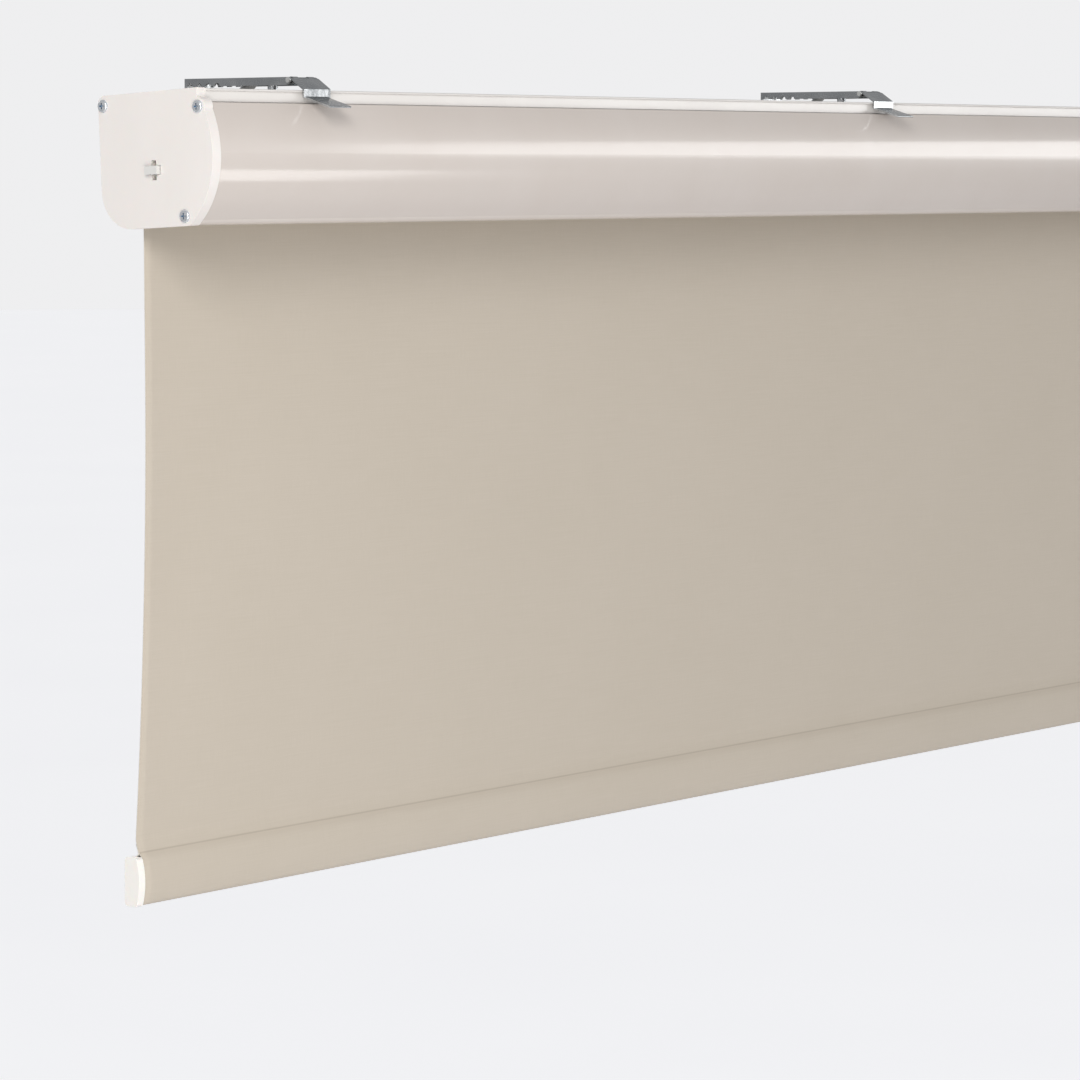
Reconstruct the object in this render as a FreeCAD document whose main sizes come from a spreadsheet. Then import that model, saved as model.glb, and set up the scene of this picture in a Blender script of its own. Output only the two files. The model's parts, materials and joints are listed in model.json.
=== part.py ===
import FreeCAD
import Part
import os
import re

import Sketcher

# Spring roller blind in a cassette, hung from three hinged wall clips.
# Frame: X along the blind, +Y into the wall, +Z up, millimetres. The origin lies on the wall plane,
# midway between the two screw holes of the middle wall bracket.
# The cassette and its contents are drawn round the roller axis, then tipped by hang_tilt.

SIZES = (
    ("blind_width", 1444, "outer face of one end cap to outer face of the other"),
    ("hang_tilt", 3, "degrees that the cassette's front is tipped up"),
    ("axis_out", 64.9, "wall to roller axis"),
    ("axis_low", 29.3, "roller axis below the origin"),
    ("case_back", 47, "roller axis to the back of the cassette"),
    ("case_front", 51.4, "roller axis to the front of the cassette"),
    ("case_top", 48.7, "roller axis to the top of the cassette"),
    ("case_floor", 35.5, "roller axis to the underside of the cassette"),
    ("bulge_up", 8, "height of the foremost line of the cassette"),
    ("bulge_high_r", 70, "front arc above the foremost line"),
    ("bulge_low_r", 54, "front arc below the foremost line"),
    ("back_corner_r", 25, "lower back corner"),
    ("top_corner_r", 5, "upper back corner"),
    ("ear_back", 0.7, "back edge of the ear behind the front screw"),
    ("ear_front", 5.5, "front end of the ear before the front screw"),
    ("ear_up", 5.75, "top of the ear above the front screw"),
    ("ear_down", 1.8, "lower end of the ear below the front screw"),
    ("ear_r", 5.8, "round edge of the ear"),
    ("chin_front", 31.8, "front end of the rounded lower edge"),
    ("chin_back", 28.4, "back end of the rounded lower edge"),
    ("chin_up", 1.9, "front end of that edge above the underside"),
    ("chin_r", 4, "rounded lower edge"),
    ("profile_wall", 1.6, "wall of the two aluminium profiles"),
    ("profile_inset", 0.4, "profiles below the rim of the end cap"),
    ("groove_back", 31, "clip groove in the headrail, wall side"),
    ("groove_front", 15, "clip groove in the headrail, room side"),
    ("groove_deep", 3, "clip groove in the headrail"),
    ("hook_out", 36.6, "upright hook of the front cover from the roller axis"),
    ("hook_high", 5, "upright hook of the front cover"),
    ("cover_chin_low", 31.8, "lower end of the cover's front arc"),
    ("cover_chin_r", 3.4, "rounded lower edge of the cover"),
    ("return_back", 20, "end of the cover's return from the roller axis"),
    ("return_high", 5, "upturned end of that return"),
    ("cap_depth", 7.6, "end cap along X"),
    ("cap_plate", 2.5, "plate of the end cap"),
    ("cap_rim", 2.2, "rim of the end cap"),
    ("inner_chin_up", 3.3, "lower front corner inside the rim above the underside"),
    ("ear_inside", 3, "inside of the rim above the front screw"),
    ("hub_r", 11, "hub of the end cap"),
    ("hub_depth", 10, "hub of the end cap along X"),
    ("cross_long", 12.4, "arms of the cross slot"),
    ("cross_flat", 5.6, "level arm of the cross slot"),
    ("cross_up", 4.4, "upright arm of the cross slot"),
    ("tongue_wide", 10.6, "tongue of the spear"),
    ("tongue_thick", 5.2, "tongue of the spear"),
    ("tongue_out", 3, "tongue outside the end cap"),
    ("screw_head_r", 4, "cap screw head"),
    ("screw_core_r", 1.9, "cap screw shank"),
    ("screw_play", 0.2, "clearance of the cap's screw holes"),
    ("crown_high", 1.4, "crown of the cap screw head"),
    ("crown_flat", 0.4, "straight rim of that head"),
    ("crown_r", 1.2, "rounded edge of that head"),
    ("recess_long", 4, "arms of the cross recess"),
    ("recess_wide", 0.9, "arms of the cross recess"),
    ("recess_deep", 1, "cross recess"),
    ("tip_long", 3, "pointed end of the cap screw"),
    ("screw_long", 20, "cap screw shank"),
    ("port_r", 2.9, "screw port of a profile, outside"),
    ("top_screw_y", 42.7, "back screw from the roller axis"),
    ("top_screw_z", 42.3, "back screw from the roller axis"),
    ("front_screw_y", 40.4, "front screw from the roller axis"),
    ("front_screw_z", 37, "front screw from the roller axis"),
    ("low_screw_y", 25.5, "lower screw from the roller axis"),
    ("low_screw_z", 29.5, "lower screw from the roller axis"),
    ("nose_front", 41.5, "front nose of the headrail from the roller axis"),
    ("lip_front", 40, "front wall of the headrail from the roller axis"),
    ("lip_foot", 40.2, "lower edge of that front wall above the roller axis"),
    ("seam_gap", 0.7, "gap between headrail and front cover"),
    ("tube_r", 19, "roller tube"),
    ("tube_wall", 1.2, "roller tube"),
    ("roll_r", 24.5, "fabric wound on the tube"),
    ("tape_thick", 0.3, "adhesive strip that holds the fabric on the tube"),
    ("tape_angle", 40, "degrees of the tube that the strip covers"),
    ("tube_past", 2, "roller tube beyond the fabric at each end"),
    ("plug_long", 30, "plug in the end of the tube"),
    ("plug_flange", 0.5, "flange of the plug along X"),
    ("flange_rise", 1, "flange of the plug above the tube"),
    ("fabric_width", 1414, "cut width of the fabric"),
    ("fabric_thick", 0.45, "blackout fabric"),
    ("straight_drop", 136, "upright stretch of the hanging fabric"),
    ("curved_drop", 296, "lower stretch, which leans to the wall"),
    ("drop_lean", 10.3, "how far it leans"),
    ("rail_below", 2, "top of the bottom rail below the end of the drop"),
    ("rail_high", 31, "bottom rail"),
    ("rail_back", 4.5, "back of the bottom rail behind the fabric"),
    ("rail_front", 8.5, "front of the bottom rail before the fabric"),
    ("rail_front_r", 46.6, "front arc of the bottom rail"),
    ("rail_corner_r", 2.6, "corners of the bottom rail"),
    ("rail_bow", 2, "bow of the bottom rail's front"),
    ("pocket_wall", 0.6, "hemmed fabric round the bottom bar"),
    ("bar_play", 0.1, "clearance of the bar in the pocket"),
    ("bar_wall", 1.5, "bottom bar"),
    ("rail_cap_thick", 5.5, "end caps of the bottom rail"),
    ("rail_cap_lip", 0.3, "end cap of the rail proud of the pocket"),
    ("rail_plug_long", 18, "plug of the end cap in the bottom bar"),
    ("rail_plug_bury", 0.5, "plug inside the plate of the end cap"),
    ("ballast_wide", 3.5, "steel bar inside the bottom bar"),
    ("ballast_high", 12, "steel bar inside the bottom bar"),
    ("ballast_short", 30, "steel bar from the cut edge of the fabric"),
    ("ballast_front", 1.6, "steel bar before the plane of the fabric"),
    ("ballast_low", 2, "steel bar below the middle of the bottom bar"),
    ("shaft_r", 5, "fixed shafts inside the roller"),
    ("collar_r", 7, "collar of the spear"),
    ("collar_long", 2, "collar of the spear"),
    ("collar_gap", 0.1, "hub to collar"),
    ("spring_spear_long", 250, "shaft on the spring side"),
    ("brake_spear_long", 80, "shaft on the brake side"),
    ("anchor_start", 52, "spring anchor from the end of the cassette"),
    ("anchor_end", 64, "spring anchor from the end of the cassette"),
    ("anchor_r", 15, "spring anchor"),
    ("brake_start", 54, "brake hub from the end of the cassette"),
    ("brake_end", 86, "brake hub from the end of the cassette"),
    ("brake_r", 12, "brake hub"),
    ("carrier_start", 218, "spring carrier from the end of the cassette"),
    ("carrier_end", 246, "spring carrier from the end of the cassette"),
    ("bush_r", 7.5, "bush on a fixed shaft"),
    ("bush_start", 3, "hub to bush"),
    ("bush_long", 30, "bush on a fixed shaft"),
    ("running_gap", 0.05, "radial clearance of the bushes"),
    ("bracket_pitch", 618, "spacing of the wall brackets"),
    ("arm_wide", 24.5, "wall bracket"),
    ("arm_thick", 2, "wall bracket"),
    ("arm_top", 29.5, "top of the bracket arm above the origin"),
    ("arm_out", 89.5, "wall to the front of the arm's plate"),
    ("plate_foot", 22, "wall plate below the origin"),
    ("wall_hole_r", 2.6, "screw holes of the wall plate"),
    ("wall_hole_pitch", 24, "screw holes of the wall plate"),
    ("flange_thick", 1.2, "side flanges of the arm"),
    ("flange_foot", 24.4, "lower edge of the side flanges above the origin"),
    ("notch_r", 2.2, "round notches in the side flanges"),
    ("notch_pitch", 8.1, "round notches in the side flanges"),
    ("notch_out", 5, "wall to the first notch"),
    ("nose_out", 1, "lower corner of the flange before the hinge pin"),
    ("nose_up", 1.4, "that corner above the foot of the flange"),
    ("nose_back", 2, "foot of the flange ends behind the hinge pin"),
    ("pin_out", 92.5, "wall to hinge pin"),
    ("pin_up", 27.6, "hinge pin above the origin"),
    ("pin_r", 1, "hinge pin"),
    ("pin_head_r", 1.7, "rivet heads of the hinge pin"),
    ("pin_head", 1, "rivet heads along the pin"),
    ("knuckle_r", 2.2, "curled knuckles of the clip lever"),
    ("knuckle_long", 6, "curled knuckles of the clip lever"),
    ("knuckle_gap", 0.3, "knuckle to flange"),
    ("ear_gap_wide", 3, "clearance round the flange in the lever"),
    ("ear_gap_deep", 4, "clearance round the flange in the lever"),
    ("ear_gap_high", 5, "clearance round the flange in the lever"),
    ("ear_gap_out", 1, "middle of that clearance before the pin"),
    ("lever_thick", 1.2, "clip lever"),
    ("lever_wide", 24.4, "clip lever"),
    ("web_start", 2.6, "sloping web begins before the pin"),
    ("web_long", 12.8, "pin to the upright of the hook"),
    ("web_drop", 6, "hinge pin to the top of the hook"),
    ("lever_hook", 4.9, "upright of the hook"),
    ("tooth_start", 0.5, "tooth behind the upright of the hook"),
    ("tooth_reach", 2.3, "point of the tooth behind the upright"),
    ("tooth_foot", 4.8, "underside of the tooth below the top of the hook"),
    ("tooth_shoulder", 3, "upper end of the tooth's point below the top of the hook"),
    ("tab_bend", 2, "bend between hook and tab"),
    ("tab_dip", 1, "fall of that bend"),
    ("tab_wide", 20, "thumb tab of the clip lever"),
    ("tab_long", 20, "thumb tab before the hook"),
    ("tab_drop", 6.3, "thumb tab below the hook"),
    ("clip_wide", 20, "clip plate under the arm"),
    ("clip_thick", 1.2, "clip plate under the arm"),
    ("clip_short", 1.5, "clip plate behind the front of the arm"),
    ("bend_out", 49, "wall to the bend of the clip plate"),
    ("wedge_out", 42.5, "wall to the upper end of the wedge foot"),
    ("wedge_up", 21.5, "upper end of the wedge foot above the origin"),
    ("wedge_tip_out", 40.5, "wall to the tip of the wedge foot"),
    ("wedge_tip_up", 16.2, "tip of the wedge foot above the origin"),
    ("waist_wide", 12, "clip plate at the wedge foot"),
    ("waist_cut", 6, "side cuts of the waist, across"),
    ("waist_long", 14, "side cuts of the waist"),
    ("waist_high", 12, "side cuts of the waist"),
    ("waist_out", 42, "wall to the middle of the waist"),
    ("waist_up", 20, "middle of the waist above the origin"),
    ("clip_screw_out", 67, "wall to clip screw"),
    ("clip_screw_r", 3.3, "clip screw head"),
    ("clip_hole_r", 1.6, "hole for the clip screw"),
    ("clip_core_r", 1.55, "clip screw shank"),
    ("clip_dome", 1.6, "domed end of the clip screw head"),
    ("clip_dome_in", 1.4, "flat of the dome inside the head's edge"),
    ("clip_head_high", 7, "clip screw head"),
    ("clip_screw_long", 10.2, "clip screw from the dome to its end"),
    ("past", 1, "how far a cutting body reaches beyond the piece"),
    ("bury", 1, "how far a joined body reaches into its neighbour"),
)

doc = FreeCAD.newDocument("RollerBlind")
sheet = doc.addObject("Spreadsheet::Sheet", "Dims")
for row, (alias, size, meaning) in enumerate(SIZES, start=1):
    sheet.set(f"A{row}", meaning)
    sheet.set(f"B{row}", str(size))
    sheet.setAlias(f"B{row}", alias)
doc.recompute()

ALIASES = {alias for alias, _, _ in SIZES}
ALONG_X = FreeCAD.Vector(1, 0, 0)
YZ_PLANE = FreeCAD.Placement(FreeCAD.Vector(), FreeCAD.Rotation(0.5, 0.5, 0.5, 0.5))
XY_PLANE = FreeCAD.Placement()
nodes = []


def full(expression):
    """The expression with every size named in full, as other objects have to write it."""
    return re.sub(r"[a-z][a-z_]*", lambda word: ("Dims." if word[0] in ALIASES else "") + word[0],
                  str(expression))


def value(expression):
    return float(sheet.evalExpression(full(expression)))


def bind(item, **sizes):
    """Bind properties to expressions; Placement parts are given as x, y and z."""
    for name, expression in sizes.items():
        path = f"Placement.Base.{name}" if name in ("x", "y", "z") else name
        item.setExpression(path, full(expression))
    return item


def add(kind, name, **sizes):
    return bind(doc.addObject(kind, name), **sizes)


def in_cassette(item, x="0"):
    """Put a piece that was drawn round the roller axis into the tipped cassette."""
    item.Placement = FreeCAD.Placement(FreeCAD.Vector(), FreeCAD.Rotation(ALONG_X, -value("hang_tilt")))
    item.setExpression("Placement.Rotation.Angle", full("-hang_tilt * 1 deg"))
    return bind(item, x=x, y="-axis_out", z="-axis_low")


def node(label, item):
    """Name a finished sub-part and queue it for export."""
    item.Label = label
    nodes.append(item)
    return item


def arc_between(start, end, radius):
    """The short arc from start to end; it bulges to the right of the way, or left if radius < 0."""
    chord = end - start
    half = chord.Length / 2
    rise = abs(radius) - (radius * radius - half * half) ** 0.5
    right = FreeCAD.Vector(chord.y, -chord.x, 0).normalize()
    return Part.Arc(start, (start + end) / 2 + right * (rise if radius > 0 else -rise), end)


def sketch(name, corners, closed=True, plane=YZ_PLANE):
    """Sketch whose corners (across, up, radius of the arc to the next corner) follow the sheet."""
    drawing = doc.addObject("Sketcher::SketchObject", name)
    drawing.Placement = plane
    points = [FreeCAD.Vector(value(corner[0]), value(corner[1]), 0) for corner in corners]
    edge_count = len(points) if closed else len(points) - 1
    first_ends = []
    for edge in range(edge_count):
        start, end = points[edge], points[(edge + 1) % len(points)]
        radius = corners[edge][2] if len(corners[edge]) > 2 else None
        shape = arc_between(start, end, value(radius)) if radius else Part.LineSegment(start, end)
        drawing.addGeometry(shape)
        at_start = drawing.getPoint(edge, 1).distanceToPoint(start) < 1e-6
        first_ends.append(1 if at_start else 2)
        if radius:
            index = drawing.addConstraint(Sketcher.Constraint("Radius", edge, abs(value(radius))))
            drawing.setExpression(f"Constraints[{index}]", full(f"abs({radius})"))
    for edge in range(1, edge_count):
        drawing.addConstraint(Sketcher.Constraint(
            "Coincident", edge - 1, 3 - first_ends[edge - 1], edge, first_ends[edge]))
    if closed:
        drawing.addConstraint(Sketcher.Constraint(
            "Coincident", edge_count - 1, 3 - first_ends[-1], 0, first_ends[0]))
    for number, corner in enumerate(corners):
        last = number == edge_count
        edge, end = (number - 1, 3 - first_ends[-1]) if last else (number, first_ends[number])
        for kind, expression in (("DistanceX", corner[0]), ("DistanceY", corner[1])):
            index = drawing.addConstraint(
                Sketcher.Constraint(kind, -1, 1, edge, end, value(expression)))
            drawing.setExpression(f"Constraints[{index}]", full(expression))
    return drawing


def extrude(name, face, length, centred=True):
    solid = add("Part::Extrusion", name, LengthFwd=length)
    solid.Base = face
    solid.DirMode = "Custom"
    solid.Dir = ALONG_X
    solid.Symmetric = centred
    solid.Solid = True
    return solid


def strip(name, path, thickness, length):
    """Bent sheet: an open path, thickened on both sides and extruded along X."""
    section = add("Part::Offset2D", name + "Section", Value=f"({thickness}) / 2")
    section.Source = sketch(name + "Path", path, closed=False)
    section.Mode = "Pipe"
    section.Join = "Arc"
    section.Fill = True
    return extrude(name + "Strip", section, length)


def block(name, corners, length, centred=True):
    """Solid bar along X with the closed outline given."""
    return extrude(name + "Block", sketch(name + "Outline", corners), length, centred)


def lathe(name, corners):
    """Solid turned about the X axis from its half section (along, radius)."""
    turned = add("Part::Revolution", name + "Turned")
    turned.Source = sketch(name + "HalfSection", corners, plane=XY_PLANE)
    turned.Axis = ALONG_X
    turned.Angle = 360
    turned.Solid = True
    return turned


def sleeve(name, start, end, inner_r, outer_r):
    return lathe(name, ((start, inner_r), (end, inner_r), (end, outer_r), (start, outer_r)))


def box(name, length, width, height, x, y, z):
    """Box centred on y and z that starts at x."""
    return add("Part::Box", name, Length=length, Width=width, Height=height,
               x=x, y=f"({y}) - ({width}) / 2", z=f"({z}) - ({height}) / 2")


def rod(name, radius, length, x, y, z, along=ALONG_X):
    cylinder = add("Part::Cylinder", name, Radius=radius, Height=length)
    cylinder.Placement.Rotation = FreeCAD.Rotation(FreeCAD.Vector(0, 0, 1), along)
    return bind(cylinder, x=x, y=y, z=z)


def fuse(name, *pieces):
    joined = doc.addObject("Part::MultiFuse", name)
    joined.Shapes = list(pieces)
    return joined


def cut(name, base, *tools):
    whole = doc.addObject("Part::Cut", name)
    whole.Base = base
    whole.Tool = tools[0] if len(tools) == 1 else fuse(name + "Tools", *tools)
    return whole


def mirrored(source):
    copy = doc.addObject("Part::Mirroring", source.Name + "Mirrored")
    copy.Source = source
    copy.Normal = ALONG_X
    return copy


def group(name, pieces):
    """Identical fasteners, kept as separate solids in one node."""
    bundle = doc.addObject("Part::Compound", name)
    bundle.Links = list(pieces)
    return bundle


CAP_SCREWS = (("top_screw_y", "top_screw_z"), ("-front_screw_y", "front_screw_z"),
              ("-low_screw_y", "-low_screw_z"))


def case_outline(name):
    """Outside of the end cap, seen along X: wall side at +, front at -."""
    ear_side = "-front_screw_y + ear_back"
    return sketch(name, (
        ("case_back - top_corner_r", "case_top"),
        (ear_side, "case_top"),
        (ear_side, "front_screw_z + ear_up", "ear_r"),
        ("-front_screw_y - ear_front", "front_screw_z - ear_down", "bulge_high_r"),
        ("-case_front", "bulge_up", "bulge_low_r"),
        ("-chin_front", "chin_up - case_floor", "chin_r"),
        ("-chin_back", "-case_floor"),
        ("case_back - back_corner_r", "-case_floor", "back_corner_r"),
        ("case_back", "back_corner_r - case_floor"),
        ("case_back", "case_top - top_corner_r", "top_corner_r"),
    ))


def case_inside(name):
    """Inside of the end cap's rim; the screw bosses stand in it."""
    high_r, low_r = "(bulge_high_r - cap_rim)", "(bulge_low_r - cap_rim)"
    brow, chin = "(front_screw_z - ear_down)", "(inner_chin_up - case_floor)"
    ear_side = "ear_back + cap_rim - front_screw_y"
    return sketch(name, (
        ("case_back - top_corner_r", "case_top - cap_rim"),
        (ear_side, "case_top - cap_rim"),
        (ear_side, "front_screw_z + ear_inside"),
        (f"bulge_high_r - case_front - sqrt({high_r} ^ 2 - ({brow} - bulge_up) ^ 2)", brow, high_r),
        ("cap_rim - case_front", "bulge_up", low_r),
        (f"bulge_low_r - case_front - sqrt({low_r} ^ 2 - ({chin} - bulge_up) ^ 2)", chin),
        ("-chin_back", "cap_rim - case_floor"),
        ("case_back - back_corner_r", "cap_rim - case_floor", "back_corner_r - cap_rim"),
        ("case_back - cap_rim", "back_corner_r - case_floor"),
        ("case_back - cap_rim", "case_top - top_corner_r", "top_corner_r - cap_rim"),
    ))


def end_cap():
    """Tray-shaped cap with screw bosses and a hub whose cross slot takes the spear's tongue."""
    shell = extrude("CapShell", case_outline("CapOutline"), "cap_depth", centred=False)
    inside = bind(extrude("CapInside", case_inside("CapInsideOutline"), "cap_depth", centred=False),
                  x="cap_plate")
    tray = cut("CapTray", shell, inside)
    bosses = [rod(f"CapBoss{number}", "port_r", "cap_depth - bury", "bury", y, z)
              for number, (y, z) in enumerate(CAP_SCREWS)]
    hub = rod("CapHub", "hub_r", "hub_depth - bury", "bury", "0", "0")
    holes = [rod(f"CapHole{number}", "screw_core_r + screw_play", "cap_depth + 2 * past", "-past", y, z)
             for number, (y, z) in enumerate(CAP_SCREWS)]
    level = box("CrossLevel", "hub_depth + 2 * past", "cross_long", "cross_flat", "-past", "0", "0")
    upright = box("CrossUpright", "hub_depth + 2 * past", "cross_up", "cross_long", "-past", "0", "0")
    cap = cut("EndCap", fuse("CapBody", tray, hub, *bosses), level, upright, *holes)
    return in_cassette(cap, "-blind_width / 2")


def cap_screw(number, y, z):
    """Pan-head screw with a cross recess, driven along +X."""
    turned = lathe(f"CapScrew{number}", (
        ("-crown_high", "0"), ("-crown_high", "screw_head_r - crown_r", "-crown_r"),
        ("-crown_flat", "screw_head_r"), ("0", "screw_head_r"), ("0", "screw_core_r"),
        ("screw_long - tip_long", "screw_core_r"), ("screw_long", "0")))
    deep, start = "past + recess_deep", "-crown_high - past"
    bar = box(f"CapScrewSlotA{number}", deep, "recess_long", "recess_wide", start, "0", "0")
    cross = box(f"CapScrewSlotB{number}", deep, "recess_wide", "recess_long", start, "0", "0")
    screw = cut(f"CapScrewCut{number}", turned, bar, cross)
    return bind(screw, x="0", y=y, z=z)


def headrail():
    """Top profile: back wall, top wall with the clip groove, front nose and lip, one screw port."""
    back = "case_back - profile_inset - profile_wall / 2"
    roof = "case_top - profile_inset - profile_wall / 2"
    turn_y, turn_z = "case_back - back_corner_r", "back_corner_r - case_floor"
    turn_r = "back_corner_r - profile_inset - profile_wall / 2"
    wall = strip("RailBack", (
        (f"{turn_y} + ({turn_r}) * sqrt(0.5)", f"{turn_z} - ({turn_r}) * sqrt(0.5)", turn_r),
        (back, turn_z), (back, roof),
        ("groove_back", roof), ("groove_back", f"{roof} - groove_deep"),
        ("groove_front", f"{roof} - groove_deep"), ("groove_front", roof),
        ("-nose_front + profile_wall / 2", roof)), "profile_wall", "blind_width - 2 * cap_depth")
    lip = block("RailLip", (
        ("-lip_front", roof), ("-lip_front", "lip_foot"),
        ("-lip_front + profile_wall", "lip_foot"), ("-lip_front + profile_wall", roof)),
        "blind_width - 2 * cap_depth")
    port = rod("RailPort", "port_r", "blind_width - 2 * cap_depth", "cap_depth - blind_width / 2",
               "top_screw_y", "top_screw_z")
    bore = rod("RailBore", "screw_core_r", "blind_width", "-blind_width / 2", "top_screw_y", "top_screw_z")
    return in_cassette(cut("Headrail", fuse("HeadrailWalls", wall, lip, port), bore))


def front_cover():
    """Bulging fascia: hooks behind the headrail's lip and returns under the cassette."""
    inset = "(profile_inset + profile_wall / 2)"
    floor = f"{inset} - case_floor"
    high_r, low_r = f"(bulge_high_r - {inset})", f"(bulge_low_r - {inset})"
    brow = "lip_foot - seam_gap - profile_wall / 2"
    brow_y = f"bulge_high_r - case_front - sqrt({high_r} ^ 2 - ({brow} - bulge_up) ^ 2)"
    chin_y = f"bulge_low_r - case_front - sqrt({low_r} ^ 2 - (bulge_up + cover_chin_low) ^ 2)"
    shell = strip("Cover", (
        ("-hook_out", f"{brow} + hook_high"), ("-hook_out", brow), (brow_y, brow, high_r),
        (f"{inset} - case_front", "bulge_up", low_r), (chin_y, "-cover_chin_low", "cover_chin_r"),
        ("-chin_back", floor), ("-return_back", floor), ("-return_back", f"{floor} + return_high")),
        "profile_wall", "blind_width - 2 * cap_depth")
    rib_front, rib_back = "-low_screw_y - profile_wall / 2", "-low_screw_y + profile_wall / 2"
    rib_top = "-low_screw_z - port_r + profile_inset"
    rib = block("CoverRib", (
        (rib_front, floor), (rib_back, floor), (rib_back, rib_top), (rib_front, rib_top)),
        "blind_width - 2 * cap_depth")
    ports, bores = [], []
    for number, (y, z) in enumerate(CAP_SCREWS[1:]):
        ports.append(rod(f"CoverPort{number}", "port_r", "blind_width - 2 * cap_depth",
                         "cap_depth - blind_width / 2", y, z))
        bores.append(rod(f"CoverBore{number}", "screw_core_r", "blind_width", "-blind_width / 2", y, z))
    return in_cassette(cut("FrontCover", fuse("CoverWalls", shell, rib, *ports), *bores))


def spear(name, length):
    """Fixed shaft whose flat tongue sits in the end cap's slot."""
    tongue = box(name + "Tongue", "tongue_out + hub_depth + collar_long", "tongue_wide", "tongue_thick",
                 "-tongue_out", "0", "0")
    shaft = rod(name + "Shaft", "shaft_r", length, "hub_depth + collar_gap", "0", "0")
    collar = rod(name + "Collar", "collar_r", "collar_long", "hub_depth + collar_gap", "0", "0")
    return in_cassette(fuse(name, tongue, shaft, collar), "-blind_width / 2")


def tube_plug(name):
    """Flanged plug pressed into the end of the roller tube."""
    tube_end = "(blind_width - fabric_width) / 2 - tube_past"
    plug = lathe(name, (
        (f"{tube_end} - plug_flange", "bush_r"), (f"{tube_end} + plug_long", "bush_r"),
        (f"{tube_end} + plug_long", "tube_r - tube_wall"), (tube_end, "tube_r - tube_wall"),
        (tube_end, "tube_r + flange_rise"), (f"{tube_end} - plug_flange", "tube_r + flange_rise")))
    return in_cassette(plug, "-blind_width / 2")


def coil(name, start, radius, wire_r, pitch, turns):
    """Round wire wound about X."""
    helix = Part.makeHelix(pitch, pitch * turns, radius)
    profile = Part.Wire(Part.makeCircle(wire_r, FreeCAD.Vector(radius, 0, 0), FreeCAD.Vector(0, 1, 0)))
    spring = doc.addObject("Part::Feature", name)
    wire = Part.Wire(helix).makePipeShell([profile], True, True)
    along_x = FreeCAD.Placement(ALONG_X * start, FreeCAD.Rotation(FreeCAD.Vector(0, 1, 0), 90))
    spring.Shape = wire.transformed(along_x.toMatrix(), True)
    return spring


def rail_bar(name, inset, length, centred=True):
    """Bar in the bottom rail's section, flat behind and bowed in front, drawn in by the inset."""
    front, back = f"(rail_bow - rail_front + {inset})", f"(rail_back - {inset})"
    top, foot, corner = f"(-({inset}))", f"({inset} - rail_high)", f"(rail_corner_r - {inset})"
    return block(name, (
        (f"{back} - {corner}", top),
        (f"{front} + {corner}", top, corner),
        (front, f"{top} - {corner}", f"rail_front_r - {inset}"),
        (front, f"{foot} + {corner}", corner),
        (f"{front} + {corner}", foot),
        (f"{back} - {corner}", foot, corner),
        (back, f"{foot} + {corner}"),
        (back, f"{top} - {corner}", corner),
    ), length, centred)


def on_rail(item, x="0"):
    return bind(item, x=x, y="roll_r + fabric_thick / 2 + drop_lean - axis_out",
                z="-axis_low - straight_drop - curved_drop - rail_below")


def wall_bracket(name, x):
    """Steel arm with side flanges and a wall plate."""
    plate = box(name + "Plate", "arm_wide", "arm_thick", "arm_top + plate_foot",
                "-arm_wide / 2", "-arm_thick / 2", "(arm_top - plate_foot) / 2")
    arm = box(name + "Arm", "arm_wide", "arm_out", "arm_thick",
              "-arm_wide / 2", "-arm_out / 2", "arm_top - arm_thick / 2")
    flanges = [block(f"{name}Flange{side}", (
        ("0", "arm_top"), ("-pin_out", "arm_top", "knuckle_r"), ("-pin_out - knuckle_r", "pin_up"),
        ("-pin_out - nose_out", "flange_foot + nose_up"), ("-pin_out + nose_back", "flange_foot"),
        ("0", "flange_foot")),
        "flange_thick") for side in ("Left", "Right")]
    bind(flanges[0], x="(flange_thick - arm_wide) / 2")
    bind(flanges[1], x="(arm_wide - flange_thick) / 2")
    notches = [rod(f"{name}Notch{number}", "notch_r", "arm_wide + 2 * past", "-arm_wide / 2 - past",
                   f"-notch_out - {number} * notch_pitch", "flange_foot") for number in range(4)]
    wall_holes = [rod(f"{name}Hole{number}", "wall_hole_r", "arm_thick + 2 * past",
                      "0", "-arm_thick - past", f"{side} * wall_hole_pitch / 2", FreeCAD.Vector(0, 1, 0))
                  for number, side in enumerate((-1, 1))]
    screw_hole = rod(name + "ScrewHole", "clip_hole_r", "arm_thick + 2 * past", "0", "-clip_screw_out",
                     "arm_top - arm_thick - past", FreeCAD.Vector(0, 0, 1))
    pin_hole = rod(name + "PinHole", "pin_r", "arm_wide + 2 * past",
                   "-arm_wide / 2 - past", "-pin_out", "pin_up")
    bent = fuse(name + "Whole", plate, arm, *flanges)
    return bind(cut(name, bent, screw_hole, pin_hole, *notches, *wall_holes), x=x)


def clip_plate(name, x):
    """Spring-steel plate under the arm whose wedge foot drops into the headrail's groove."""
    level = "arm_top - arm_thick - clip_thick / 2"
    sheet_metal = strip(name + "Sheet", (
        ("clip_short - arm_out", level), ("-bend_out", level), ("-wedge_out", "wedge_up"),
        ("-wedge_tip_out", "wedge_tip_up")), "clip_thick", "clip_wide")
    hole = rod(name + "Hole", "clip_hole_r", "clip_thick + 2 * past", "0", "-clip_screw_out",
               "arm_top - arm_thick - clip_thick - past", FreeCAD.Vector(0, 0, 1))
    waist = [box(f"{name}Waist{side}", "waist_cut", "waist_long", "waist_high",
                 f"{side} * (waist_wide + waist_cut) / 2 - waist_cut / 2", "-waist_out", "waist_up")
             for side in (-1, 1)]
    return bind(cut(name, sheet_metal, hole, *waist), x=x)


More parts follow.
